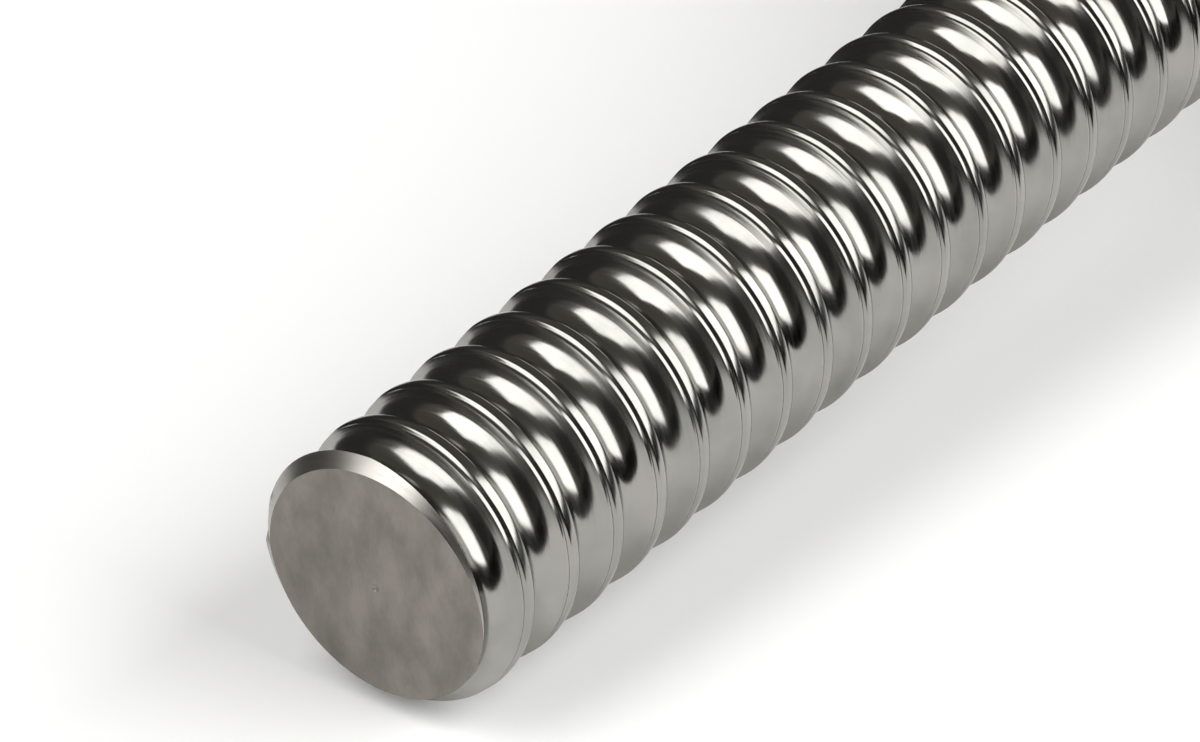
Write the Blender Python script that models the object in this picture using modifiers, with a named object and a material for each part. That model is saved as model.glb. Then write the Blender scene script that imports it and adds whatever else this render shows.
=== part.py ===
"""Rolled ball screw, left-hand thread, with its ball nut and fixed-side bearing block.

The screw lies along X on an axis at AXIS_HEIGHT. Its free end points to -X and its drive end to +X.
The origin is the middle of the bearing block's base face, and +Z is up.
"""
import math

import bmesh
import bpy
from mathutils import Matrix, Vector

MM = 0.001
GAP = 0.3 * MM               # left between touching pieces
SMALL = 0.00001              # merge distance
OVERRUN = 1.0 * MM           # how far a cutter runs past the metal

# Screw thread
LEAD = 5.0 * MM
HAND = -1                    # -1 is a left-hand thread
CREST_R = 10.0 * MM
BALL_CIRCLE_R = 10.2 * MM
BALL_R = 1.5875 * MM
GROOVE_R = 1.7 * MM
THREAD_SIDES = 14
GROOVE_FACES = 3
NUT_CREST_R = 10.4 * MM

# Places along the screw, measured from its free end
FREE_END_X = -184.5 * MM
CHAMFER = 1.0 * MM
THREAD_END = 170.0 * MM
JOURNAL_END = 216.0 * MM
DRIVE_END = 238.0 * MM
JOURNAL_R = 7.5 * MM
DRIVE_R = 6.0 * MM
KEY_HALF_WIDTH = 2.0 * MM
KEY_HEIGHT = 4.0 * MM
KEYWAY_DEPTH = 2.5 * MM
KEYWAY_START = JOURNAL_END + 3.0 * MM
KEYWAY_END = DRIVE_END - 4.0 * MM

# Ball nut
NUT_START = 120.0 * MM
NUT_LENGTH = 42.0 * MM
BARREL_R = 18.0 * MM
FLANGE_R = 29.0 * MM
FLANGE_THICK = 10.0 * MM
FLANGE_FLAT = 22.0 * MM      # flats above and below the axis
FLANGE_PCR = 23.5 * MM
FLANGE_HOLE_R = 3.3 * MM
WIPER_BORE_R = 13.0 * MM
WIPER_BORE_DEPTH = 5.6 * MM
OIL_HOLE_R = 3.0 * MM
OIL_HOLE_AT = NUT_START + NUT_LENGTH - FLANGE_THICK / 2 - 1.2 * MM
NIPPLE_DEPTH = 5.0 * MM      # of its stem in the flange
WIPER_WIDTH = 3.8 * MM
WIPER_INSET = 1.5 * MM       # from the nut's end
WIPER_LIP = 1.2 * MM
WIPER_LIP_R = CREST_R + 0.35 * MM
SNAP_RING_WIDTH = 0.9 * MM
SNAP_RING_HEIGHT = 1.4 * MM
SNAP_OPENING = 4.0 * MM

# Recirculation: each circuit is one turn, closed over a crest by a deflector
CIRCUITS = 3
CIRCUIT_TURNS = 4.0 / 3.0    # turns of thread from one circuit to the next
FIRST_CIRCUIT = 130.0 * MM   # a whole number of leads, so that a crest lies there on top
BALLS_PER_CIRCUIT = 20
LIFT = 1.5 * MM              # a ball rises this much over the crest
CROSSOVER = math.radians(50)
PLUG_HALF_WIDTH = 4.6 * MM
PLUG_HALF_LENGTH = 6.6 * MM
PLUG_INNER_R = 10.8 * MM
POCKET_INNER_R = 9.0 * MM
CHANNEL_R = 1.9 * MM
CHANNEL_SPAN = math.radians(44)   # to each side of the deflector
NECKS = ((0.0, 0.35), (0.27, 0.87), (0.73, 0.87))   # along one ball's pitch: place, share of BALL_R

# Bearing block
AXIS_HEIGHT = 28.0 * MM
BLOCK_LENGTH = 27.0 * MM
BLOCK_WIDTH = 70.0 * MM
BLOCK_HEIGHT = 48.0 * MM
TOWER_WIDTH = 40.0 * MM
WING_HEIGHT = 18.0 * MM
BASE_HOLE_R = 3.3 * MM
BASE_HOLE_HEAD_R = 5.5 * MM
BASE_HOLE_HEAD_DEPTH = 6.5 * MM
BASE_HOLE_X = 7.5 * MM
BASE_HOLE_Y = 27.0 * MM
BEARING_R = 16.0 * MM
BEARING_WIDTH = 9.0 * MM
LIP = 4.5 * MM               # wall left in the block on the thread side
SEAL_R = 12.5 * MM
COLLAR_R = 10.0 * MM
LID_HALF = 19.0 * MM
LID_THICK = 6.0 * MM
LID_SCREW_AT = 15.0 * MM
LID_SCREW_R = 1.5 * MM
LID_SCREW_LENGTH = 9.0 * MM
LID_THREAD_DEPTH = 10.0 * MM
LID_HEAD_R = 2.75 * MM
LID_HEAD_HEIGHT = 2.9 * MM
LID_SOCKET_R = 1.45 * MM
LID_SOCKET_DEPTH = 1.6 * MM
COUNTERBORE_R = 3.2 * MM
COUNTERBORE_DEPTH = 3.0 * MM
LOCK_NUT_R = 13.0 * MM
LOCK_NUT_WIDTH = 9.0 * MM
LOCK_NUT_BEVEL = 0.8 * MM
SPANNER_SLOT_R = 2.0 * MM
SET_SCREW_R = 2.0 * MM       # of its hole
SET_SCREW_LENGTH = 4.0 * MM
SET_SOCKET_R = 1.0 * MM
SET_SOCKET_DEPTH = 1.8 * MM

# Bearings
BEARING_BALLS = 10
BEARING_BALL_R = 2.38 * MM
BEARING_BALL_CIRCLE = 11.75 * MM
INNER_SHOULDER_R = 10.3 * MM
OUTER_SHOULDER_R = 13.2 * MM
RACE_R = 2.6 * MM
CAGE_R = (11.0 * MM, 12.5 * MM)
CAGE_WIDTH = 7.4 * MM
POCKET_R = 2.75 * MM
POCKET_DEPTH = 4.0 * MM

STEEL = ("ground_steel", (0.56, 0.55, 0.52), 0.25, 1.0)
BRIGHT = ("bright_steel", (0.66, 0.65, 0.63), 0.15, 1.0)
BLACKED = ("blacked_steel", (0.05, 0.05, 0.055), 0.45, 0.8)
BRASS = ("brass", (0.72, 0.52, 0.22), 0.3, 1.0)
PLASTIC = ("acetal", (0.75, 0.74, 0.70), 0.5, 0.0)
RUBBER = ("seal_rubber", (0.03, 0.03, 0.03), 0.7, 0.0)


def clear_scene():
    for item in list(bpy.data.objects):
        bpy.data.objects.remove(item, do_unlink=True)


def new_collection(name):
    group = bpy.data.collections.new(name)
    bpy.context.scene.collection.children.link(group)
    return group


clear_scene()
PARTS = new_collection("ball_screw_assembly")
CUTTERS = new_collection("cutters")


def along(distance):
    """World X of a place given by its distance from the screw's free end."""
    return FREE_END_X + distance


def finish_part(item, look, smooth=True):
    """Put an object in the parts collection and give it its own material."""
    for group in list(item.users_collection):
        group.objects.unlink(item)
    PARTS.objects.link(item)
    label, colour, roughness, metallic = look
    material = bpy.data.materials.new(f"{item.name}_{label}")
    material.use_nodes = True
    shader = material.node_tree.nodes["Principled BSDF"]
    shader.inputs["Base Color"].default_value = (*colour, 1.0)
    shader.inputs["Roughness"].default_value = roughness
    shader.inputs["Metallic"].default_value = metallic
    item.data.materials.clear()
    item.data.materials.append(material)
    if smooth and item.type == "MESH":
        item.data.shade_smooth()
        item.data.set_sharp_from_angle(angle=math.radians(35))


def as_cutter(item):
    for group in list(item.users_collection):
        group.objects.unlink(item)
    CUTTERS.objects.link(item)
    item.hide_render = True
    item.display_type = "WIRE"
    return item


def object_from(bm, name):
    mesh = bpy.data.meshes.new(name)
    bm.to_mesh(mesh)
    bm.free()
    item = bpy.data.objects.new(name, mesh)
    bpy.context.scene.collection.objects.link(item)
    return item


def boolean(item, cutter, operation="DIFFERENCE"):
    """Cut, join or intersect an object with another one."""
    modifier = item.modifiers.new(operation.title(), "BOOLEAN")
    modifier.operation = operation
    modifier.object = as_cutter(cutter)


def turned(name, profile, sides, x=0.0):
    """A ring or a solid turned about the screw's axis. The profile is (distance along X, radius).

    A flat of the polygon, and not a corner, lies on top.
    """
    bm = bmesh.new()
    phase = math.pi / sides
    verts = [bm.verts.new((px, radius * math.sin(phase), radius * math.cos(phase)))
             for px, radius in profile]
    edges = [bm.edges.new(pair) for pair in zip(verts, verts[1:])]
    if min(radius for _, radius in profile) > 0:
        edges.append(bm.edges.new((verts[-1], verts[0])))
    bmesh.ops.spin(bm, geom=verts + edges, cent=(0, 0, 0), axis=(1, 0, 0),
                   angle=2 * math.pi, steps=sides, use_merge=True)
    bmesh.ops.remove_doubles(bm, verts=bm.verts, dist=SMALL)
    bmesh.ops.recalc_face_normals(bm, faces=bm.faces)
    item = object_from(bm, name)
    item.location = (x, 0, AXIS_HEIGHT)
    return item


def ring(name, inner, outer, width, sides, x, bevel=0.0):
    """A plain ring from x to x + width, with its outer corners bevelled."""
    profile = [(0, inner), (0, outer - bevel), (bevel, outer),
               (width - bevel, outer), (width, outer - bevel), (width, inner)]
    if bevel == 0:
        profile = [(0, inner), (0, outer), (width, outer), (width, inner)]
    return turned(name, profile, sides, x)


def rod(name, radius, length, sides, place, direction):
    """A plain cylinder that starts at place and runs along direction."""
    bm = bmesh.new()
    bmesh.ops.create_cone(bm, cap_ends=True, segments=sides, radius1=radius, radius2=radius, depth=length)
    bmesh.ops.translate(bm, verts=bm.verts, vec=(0, 0, length / 2))
    item = object_from(bm, name)
    item.rotation_mode = "QUATERNION"
    item.rotation_quaternion = Vector((0, 0, 1)).rotation_difference(Vector(direction))
    item.location = place
    return item


def block(name, low, high):
    """A box between two corners."""
    bm = bmesh.new()
    bmesh.ops.create_cube(bm, size=1.0)
    size = [b - a for a, b in zip(low, high)]
    bmesh.ops.scale(bm, verts=bm.verts, vec=size)
    item = object_from(bm, name)
    item.location = [(a + b) / 2 for a, b in zip(low, high)]
    return item


def bevel_the_edges(item, width):
    modifier = item.modifiers.new("Bevel", "BEVEL")
    modifier.width = width
    modifier.segments = 1
    modifier.limit_method = "ANGLE"
    modifier.angle_limit = math.radians(40)


# ---------------------------------------------------------------- the thread

def crest_x(angle):
    """Where a crest's middle lies, from the free end. The angle is taken about +X, from +Z."""
    return HAND * LEAD * angle / (2 * math.pi)


def thread_profile(crest_radius, side, stretch=1.0):
    """One lead of thread from the middle of a crest: (along, radius). Side -1 cuts in, +1 stands out."""
    half = math.asin(abs(BALL_CIRCLE_R - crest_radius) / GROOVE_R)
    start = math.pi - half
    points = []
    for i in range(GROOVE_FACES + 1):
        turn = start + (2 * half - math.pi) * i / GROOVE_FACES
        x = LEAD / 2 + GROOVE_R * math.cos(turn)
        points.append((x, (BALL_CIRCLE_R + side * GROOVE_R * math.sin(turn)) * stretch))
    points.append((points[0][0] + LEAD, points[0][1]))
    return points


def threaded_rod(name, profile, start, turns):
    """A solid threaded rod whose crests follow crest_x, from start for a number of turns."""
    bm = bmesh.new()
    first = start + (turns if HAND < 0 else 0) * LEAD
    verts = [bm.verts.new((first + x, 0, radius)) for x, radius in profile]
    edges = [bm.edges.new(pair) for pair in zip(verts, verts[1:])]
    bmesh.ops.spin(bm, geom=verts + edges, cent=(0, 0, 0), axis=(1, 0, 0),
                   dvec=(HAND * LEAD / THREAD_SIDES, 0, 0), angle=2 * math.pi * turns,
                   steps=THREAD_SIDES * turns)
    bmesh.ops.remove_doubles(bm, verts=bm.verts, dist=SMALL)
    open_edges = [edge for edge in bm.edges if edge.is_boundary]
    middle = start + turns * LEAD / 2
    for low_end in (True, False):
        rim = [edge for edge in open_edges if (edge.verts[0].co.x < middle) == low_end]
        mean = sum(edge.verts[0].co.x for edge in rim) / len(rim)
        hub = bm.verts.new((mean, 0, 0))
        for edge in rim:
            bm.faces.new((edge.verts[0], edge.verts[1], hub))
    bmesh.ops.recalc_face_normals(bm, faces=bm.faces)
    item = object_from(bm, name)
    item.location = (FREE_END_X, 0, AXIS_HEIGHT)
    return item


# ---------------------------------------------------------------- the screw

def make_screw():
    """The rolled shaft: chamfered free end, thread, bearing journal and drive journal with its keyway."""
    clear = CREST_R + CHAMFER
    profile = [(0, 0), (0, CREST_R - CHAMFER), (2 * CHAMFER, clear), (THREAD_END, clear),
               (THREAD_END, JOURNAL_R), (JOURNAL_END, JOURNAL_R), (JOURNAL_END, DRIVE_R),
               (DRIVE_END - CHAMFER, DRIVE_R), (DRIVE_END, DRIVE_R - CHAMFER), (DRIVE_END, 0)]
    screw = turned("screw_shaft", profile, 32, FREE_END_X)
    turns = math.ceil(DRIVE_END / LEAD) + 4
    thread = threaded_rod("thread_form", thread_profile(CREST_R, -1), -2 * LEAD, turns)
    boolean(screw, thread, "INTERSECT")
    slot_floor = AXIS_HEIGHT + DRIVE_R - KEYWAY_DEPTH
    slot_half = KEY_HALF_WIDTH + GAP / 2
    key_half = KEY_HALF_WIDTH - GAP / 2
    slot = block("keyway", (along(KEYWAY_START), -slot_half, slot_floor),
                 (along(KEYWAY_END), slot_half, AXIS_HEIGHT + DRIVE_R + OVERRUN))
    boolean(screw, slot)
    finish_part(screw, BRIGHT)
    key = block("drive_key", (along(KEYWAY_START) + GAP, -key_half, slot_floor + GAP),
                (along(KEYWAY_END) - GAP, key_half, slot_floor + KEY_HEIGHT))
    finish_part(key, STEEL, smooth=False)


# ---------------------------------------------------------------- the nut

def circuit_angle(index):
    """Where a circuit's deflector sits round the nut, about +X from +Z."""
    return 2 * math.pi * index * CIRCUIT_TURNS * HAND


def circuit_x(index):
    """The crest that a circuit's deflector crosses, from the free end."""
    return FIRST_CIRCUIT + index * CIRCUIT_TURNS * LEAD


def crossover_step(angle):
    """0 before a deflector, 1 after it, and smooth between."""
    share = min(1.0, max(0.0, angle / CROSSOVER + 0.5))
    return share * share * (3 - 2 * share)


def ball_path(angle):
    """A ball's centre at an angle from the deflector: (distance from the crossed crest, radius)."""
    wrapped = (angle + math.pi) % (2 * math.pi) - math.pi
    step = crossover_step(wrapped)
    x = HAND * LEAD * (wrapped / (2 * math.pi) + 0.5 - step)
    return x, BALL_CIRCLE_R + LIFT * 4 * step * (1 - step)


def path_point(index, angle):
    """A point of a circuit's ball path, in the world."""
    x, radius = ball_path(angle)
    total = circuit_angle(index) + angle
    return Vector((along(circuit_x(index) + x), -radius * math.sin(total),
                   AXIS_HEIGHT + radius * math.cos(total)))


def path_curve(name, points, radii, depth, closed):
    curve = bpy.data.curves.new(name, "CURVE")
    curve.dimensions = "3D"
    curve.bevel_depth = depth
    curve.bevel_resolution = 1
    curve.use_fill_caps = not closed
    spline = curve.splines.new("POLY")
    spline.points.add(len(points) - 1)
    for point, place, radius in zip(spline.points, points, radii):
        point.co = (*place, 1.0)
        point.radius = radius
    spline.use_cyclic_u = closed
    item = bpy.data.objects.new(name, curve)
    bpy.context.scene.collection.objects.link(item)
    return item


def make_ball_train(index):
    """The balls of one circuit, each joined to the next by a short neck into one closed chain."""
    points = []
    radii = []
    for ball in range(BALLS_PER_CIRCUIT):
        for offset, radius in NECKS:
            points.append(path_point(index, 2 * math.pi * (ball + offset) / BALLS_PER_CIRCUIT))
            radii.append(radius)
    train = path_curve(f"ball_train_{index + 1}", points, radii, BALL_R, closed=True)
    finish_part(train, BRIGHT)


def mesh_from_curve(curve_item, name):
    """A closed mesh object with a curve's shape. The curve is removed."""
    graph = bpy.context.evaluated_depsgraph_get()
    mesh = bpy.data.meshes.new_from_object(curve_item.evaluated_get(graph))
    bm = bmesh.new()
    bm.from_mesh(mesh)
    bmesh.ops.remove_doubles(bm, verts=bm.verts, dist=SMALL)
    bmesh.ops.recalc_face_normals(bm, faces=bm.faces)
    item = object_from(bm, name)
    item.matrix_world = curve_item.matrix_world
    bpy.data.objects.remove(curve_item, do_unlink=True)
    return item


def make_channel(index):
    """The space that the balls need in a deflector."""
    steps = 12
    points = [path_point(index, CHANNEL_SPAN * (2 * i / steps - 1)) for i in range(steps + 1)]
    curve = path_curve("channel_path", points, [1.0] * len(points), CHANNEL_R, closed=False)
    bpy.context.view_layer.update()
    return mesh_from_curve(curve, f"channel_{index + 1}")


def make_plug(name, index, grow, inner, outer):
    """An obround plug that stands radially in the nut's wall, over the crest that a circuit crosses."""
    bm = bmesh.new()
    radius = PLUG_HALF_WIDTH + grow
    sides = 16
    bmesh.ops.create_cone(bm, cap_ends=True, segments=sides, radius1=radius, radius2=radius,
                          depth=outer - inner, matrix=Matrix.Rotation(math.pi / sides, 4, "Z"))
    shift = PLUG_HALF_LENGTH - PLUG_HALF_WIDTH
    for vert in bm.verts:
        vert.co.y += math.copysign(shift, vert.co.y)
    bmesh.ops.translate(bm, verts=bm.verts, vec=(0, 0, (inner + outer) / 2))
    item = object_from(bm, name)
    item.location = (along(circuit_x(index)), 0, AXIS_HEIGHT)
    item.rotation_euler = (circuit_angle(index), 0, 0)
    return item


def make_deflector(index):
    """The return plug of one circuit, with an S-shaped channel across its inner face."""
    deflector = make_plug(f"deflector_{index + 1}", index, 0.0, PLUG_INNER_R, BARREL_R + OVERRUN)
    barrel = rod(f"barrel_form_{index + 1}", BARREL_R - 0.1 * MM, NUT_LENGTH, 48,
                 (along(NUT_START), 0, AXIS_HEIGHT), (1, 0, 0))
    boolean(deflector, barrel, "INTERSECT")
    boolean(deflector, make_channel(index))
    finish_part(deflector, BLACKED)


def make_nut_body():
    """Barrel and flange in one piece, with the ball thread, the wiper seats and every hole."""
    bevel = 0.8 * MM
    flange_at = NUT_LENGTH - FLANGE_THICK
    profile = [(0, 0), (0, BARREL_R - bevel), (bevel, BARREL_R), (flange_at, BARREL_R),
               (flange_at, FLANGE_R - bevel), (flange_at + bevel, FLANGE_R),
               (NUT_LENGTH - bevel, FLANGE_R), (NUT_LENGTH, FLANGE_R - bevel), (NUT_LENGTH, 0)]
    body = turned("nut_body", profile, 36, along(NUT_START))
    stretch = 1 / math.cos(math.pi / THREAD_SIDES)
    start = math.floor(NUT_START / LEAD) * LEAD
    turns = math.floor(NUT_LENGTH / LEAD)
    raceway = threaded_rod("raceway", thread_profile(NUT_CREST_R, 1, stretch), start, turns)
    boolean(body, raceway)
    for side, at in (("front", -OVERRUN), ("rear", NUT_LENGTH - WIPER_BORE_DEPTH)):
        seat = rod(f"wiper_seat_{side}", WIPER_BORE_R, WIPER_BORE_DEPTH + OVERRUN, 22,
                   (along(NUT_START) + at, 0, AXIS_HEIGHT), (1, 0, 0))
        boolean(body, seat)
    waste = FLANGE_R - FLANGE_FLAT + OVERRUN
    for side in (-1, 1):
        low = AXIS_HEIGHT + (FLANGE_FLAT if side > 0 else -FLANGE_FLAT - waste)
        flat = block(f"flange_flat_{side}", (along(NUT_START), -FLANGE_R, low),
                     (along(NUT_START + NUT_LENGTH) + OVERRUN, FLANGE_R, low + waste))
        boolean(body, flat)
        for turn in (-45, 0, 45):
            angle = math.radians(turn)
            place = (along(NUT_START + flange_at) - OVERRUN, side * FLANGE_PCR * math.cos(angle),
                     AXIS_HEIGHT + FLANGE_PCR * math.sin(angle))
            boolean(body, rod(f"flange_hole_{side}_{turn}", FLANGE_HOLE_R, FLANGE_THICK + 2 * OVERRUN, 12,
                              place, (1, 0, 0)))
    oil_depth = FLANGE_FLAT - CREST_R
    boolean(body, rod("oil_hole", OIL_HOLE_R, oil_depth, 12,
                      (along(OIL_HOLE_AT), 0, AXIS_HEIGHT + CREST_R + OVERRUN), (0, 0, 1)))
    for index in range(CIRCUITS):
        boolean(body, make_plug(f"pocket_{index + 1}", index, GAP, POCKET_INNER_R, BARREL_R + OVERRUN))
    finish_part(body, STEEL)


def make_grease_nipple():
    """Stem, hexagon, neck and head of the nipple in the flange's upper flat."""
    stem = OIL_HOLE_R - GAP
    profile = [(0, 0), (0, stem), (NIPPLE_DEPTH, stem), (NIPPLE_DEPTH, 3.9 * MM), (8 * MM, 3.9 * MM),
               (8.6 * MM, 2.2 * MM), (10.4 * MM, 2.0 * MM), (11.4 * MM, 3.1 * MM),
               (13 * MM, 2.6 * MM), (14 * MM, 1.2 * MM), (14 * MM, 0)]
    nipple = turned("grease_nipple", profile, 10)
    nipple.location = (along(OIL_HOLE_AT), 0, AXIS_HEIGHT + FLANGE_FLAT - NIPPLE_DEPTH + GAP)
    nipple.rotation_euler = (0, -math.pi / 2, 0)
    finish_part(nipple, BRASS)


def make_wiper(side):
    """A plastic wiper ring and the snap ring that keeps it in the nut's end."""
    front = side == "front"
    outer = WIPER_BORE_R - GAP
    mouth = WIPER_LIP_R + 0.8 * MM
    start = NUT_START + (WIPER_INSET if front else NUT_LENGTH - WIPER_INSET - WIPER_WIDTH)
    profile = [(0, mouth), (0, outer), (WIPER_WIDTH, outer), (WIPER_WIDTH, mouth),
               (WIPER_WIDTH - WIPER_LIP, WIPER_LIP_R), (WIPER_LIP, WIPER_LIP_R)]
    wiper = turned(f"wiper_{side}", profile, 24, along(start))
    finish_part(wiper, PLASTIC)
    snap_x = along(start - 1.0 * MM - GAP if front else start + WIPER_WIDTH + GAP)
    snap = ring(f"snap_ring_{side}", outer - SNAP_RING_HEIGHT, outer, SNAP_RING_WIDTH, 20, snap_x)
    opening = block(f"snap_opening_{side}", (snap_x - OVERRUN, -SNAP_OPENING / 2, AXIS_HEIGHT),
                    (snap_x + SNAP_RING_WIDTH + OVERRUN, SNAP_OPENING / 2, AXIS_HEIGHT + outer + OVERRUN))
    boolean(snap, opening)
    finish_part(snap, BLACKED)


# ---------------------------------------------------------------- the bearing block

BLOCK_START = -BLOCK_LENGTH / 2
BEARINGS_START = BLOCK_START + LIP
BORE_R = BEARING_R + GAP / 2


def make_block():
    """The housing: base wings, tower, stepped bore, lid screw holes and base bolt holes."""
    half_width = BLOCK_WIDTH / 2
    half_tower = TOWER_WIDTH / 2
    outline = [(-half_width, 0), (half_width, 0), (half_width, WING_HEIGHT), (half_tower, WING_HEIGHT),
               (half_tower, BLOCK_HEIGHT), (-half_tower, BLOCK_HEIGHT), (-half_tower, WING_HEIGHT),
               (-half_width, WING_HEIGHT)]
    bm = bmesh.new()
    face = bm.faces.new([bm.verts.new((BLOCK_START, y, z)) for y, z in outline])
    extruded = bmesh.ops.extrude_face_region(bm, geom=[face])["geom"]
    moved = [part for part in extruded if isinstance(part, bmesh.types.BMVert)]
    bmesh.ops.translate(bm, verts=moved, vec=(BLOCK_LENGTH, 0, 0))
    bmesh.ops.recalc_face_normals(bm, faces=bm.faces)
    housing = object_from(bm, "support_block")
    axis_at = (BEARINGS_START, 0, AXIS_HEIGHT)
    boolean(housing, rod("bearing_bore", BORE_R, BLOCK_LENGTH, 28, axis_at, (1, 0, 0)))
    through = (BLOCK_START - OVERRUN, 0, AXIS_HEIGHT)
    boolean(housing, rod("seal_bore", SEAL_R + GAP, BLOCK_LENGTH, 24, through, (1, 0, 0)))
    for side_y in (-1, 1):
        for side_x in (-1, 1):
            tag = f"{side_x}_{side_y}"
            x = side_x * BASE_HOLE_X
            y = side_y * BASE_HOLE_Y
            boolean(housing, rod(f"base_hole_{tag}", BASE_HOLE_R, WING_HEIGHT + 2 * OVERRUN, 12,
                                 (x, y, -OVERRUN), (0, 0, 1)))
            boolean(housing, rod(f"base_head_{tag}", BASE_HOLE_HEAD_R, BASE_HOLE_HEAD_DEPTH + OVERRUN, 12,
                                 (x, y, WING_HEIGHT - BASE_HOLE_HEAD_DEPTH), (0, 0, 1)))
    for number, (y, z) in enumerate(lid_screw_places()):
        boolean(housing, rod(f"lid_thread_{number + 1}", LID_SCREW_R + GAP, LID_THREAD_DEPTH + OVERRUN, 8,
                             (BLOCK_LENGTH / 2 - LID_THREAD_DEPTH, y, z), (1, 0, 0)))
    finish_part(housing, BLACKED)


def lid_screw_places():
    for side_y in (-1, 1):
        for side_z in (-1, 1):
            yield side_y * LID_SCREW_AT, AXIS_HEIGHT + side_z * LID_SCREW_AT


def make_lid():
    """The holding lid on the drive side: a bevelled square plate with a spigot on the outer ring."""
    lid_x = BLOCK_LENGTH / 2 + GAP
    lid = block("holding_lid", (lid_x, -LID_HALF, AXIS_HEIGHT - LID_HALF),
                (lid_x + LID_THICK, LID_HALF, AXIS_HEIGHT + LID_HALF))
    bevel_the_edges(lid, 1.0 * MM)
    spigot_x = BEARINGS_START + 2 * BEARING_WIDTH + 2 * GAP
    boolean(lid, rod("spigot", BORE_R - GAP, lid_x - spigot_x + 2 * OVERRUN, 24,
                     (spigot_x, 0, AXIS_HEIGHT), (1, 0, 0)), "UNION")
    bore_length = lid_x + LID_THICK - spigot_x + 2 * OVERRUN
    boolean(lid, rod("lid_bore", SEAL_R + GAP, bore_length, 22, (spigot_x - OVERRUN, 0, AXIS_HEIGHT),
                     (1, 0, 0)))
    for number, (y, z) in enumerate(lid_screw_places()):
        boolean(lid, rod(f"lid_hole_{number + 1}", LID_SCREW_R + GAP, LID_THICK + 2 * OVERRUN, 8,
                         (lid_x - OVERRUN, y, z), (1, 0, 0)))
        boolean(lid, rod(f"lid_head_{number + 1}", COUNTERBORE_R, COUNTERBORE_DEPTH + OVERRUN, 10,
                         (lid_x + LID_THICK - COUNTERBORE_DEPTH, y, z), (1, 0, 0)))
    finish_part(lid, BLACKED)


def make_lid_screws():
    """Socket head screws that hold the lid."""
    seat = BLOCK_LENGTH / 2 + LID_THICK - COUNTERBORE_DEPTH + 2 * GAP
    profile = [(-LID_SCREW_LENGTH, 0), (-LID_SCREW_LENGTH, LID_SCREW_R), (0, LID_SCREW_R),
               (0, LID_HEAD_R), (LID_HEAD_HEIGHT, LID_HEAD_R), (LID_HEAD_HEIGHT, 0)]
    for number, (y, z) in enumerate(lid_screw_places()):
        screw = turned(f"lid_screw_{number + 1}", profile, 10)
        screw.location = (seat, y, z)
        floor = seat + LID_HEAD_HEIGHT - LID_SOCKET_DEPTH
        boolean(screw, rod(f"hex_{number + 1}", LID_SOCKET_R, LID_SOCKET_DEPTH + OVERRUN, 6,
                           (floor, y, z), (1, 0, 0)))
        finish_part(screw, BLACKED)


def race_points(shoulder_r, side, width):
    """The ball groove across a bearing ring: side -1 on an inner ring, +1 on an outer ring."""
    half = math.acos(abs(BEARING_BALL_CIRCLE - shoulder_r) / RACE_R)
    turns = (-half, -half / 3, half / 3, half)
    return [(width / 2 + RACE_R * math.sin(turn), BEARING_BALL_CIRCLE + side * RACE_R * math.cos(turn))
            for turn in turns]


def make_bearing(number):
    """One bearing of the pair: outer ring, inner ring, cage and balls."""
    start = BEARINGS_START + GAP + (number - 1) * BEARING_WIDTH
    width = BEARING_WIDTH - GAP
    outer_r = BEARING_R - GAP / 2
    groove = race_points(OUTER_SHOULDER_R, 1, width)
    profile = [(0, OUTER_SHOULDER_R), (0, outer_r), (width, outer_r), (width, OUTER_SHOULDER_R)]
    profile += groove[::-1]
    finish_part(turned(f"bearing_{number}_outer_ring", profile, 24, start), BRIGHT)
    inner_r = JOURNAL_R + GAP
    groove = race_points(INNER_SHOULDER_R, -1, width)
    profile = [(0, inner_r), (0, INNER_SHOULDER_R), *groove, (width, INNER_SHOULDER_R), (width, inner_r)]
    finish_part(turned(f"bearing_{number}_inner_ring", profile, 20, start), BRIGHT)
    middle = start + width / 2
    cage = ring(f"bearing_{number}_cage", *CAGE_R, CAGE_WIDTH, 20, middle - CAGE_WIDTH / 2)
    pockets = bmesh.new()
    for ball in range(BEARING_BALLS):
        angle = 2 * math.pi * ball / BEARING_BALLS
        turn = Matrix.Rotation(angle, 4, "X")
        lift = Matrix.Translation((middle, 0, BEARING_BALL_CIRCLE))
        bmesh.ops.create_cone(pockets, cap_ends=True, segments=6, radius1=POCKET_R, radius2=POCKET_R,
                              depth=POCKET_DEPTH, matrix=turn @ lift)
        place = turn @ Vector((middle, 0, BEARING_BALL_CIRCLE))
        make_bearing_ball(f"bearing_{number}_ball_{ball + 1:02d}", place)
    cutter = object_from(pockets, f"pockets_{number}")
    cutter.location = (0, 0, AXIS_HEIGHT)
    boolean(cage, cutter)
    finish_part(cage, PLASTIC)


def make_bearing_ball(name, place):
    bm = bmesh.new()
    bmesh.ops.create_uvsphere(bm, u_segments=6, v_segments=4, radius=BEARING_BALL_R)
    ball = object_from(bm, name)
    ball.location = place + Vector((0, 0, AXIS_HEIGHT))
    finish_part(ball, BRIGHT)


def make_seal(side, start, width):
    """A rubber lip seal that stands still round a turning collar."""
    inner = COLLAR_R + GAP
    profile = [(0, inner + 1.0 * MM), (0, SEAL_R), (width, SEAL_R), (width, inner + 1.0 * MM),
               (width / 2, inner)]
    finish_part(turned(f"oil_seal_{side}", profile, 20, start), RUBBER)


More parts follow.
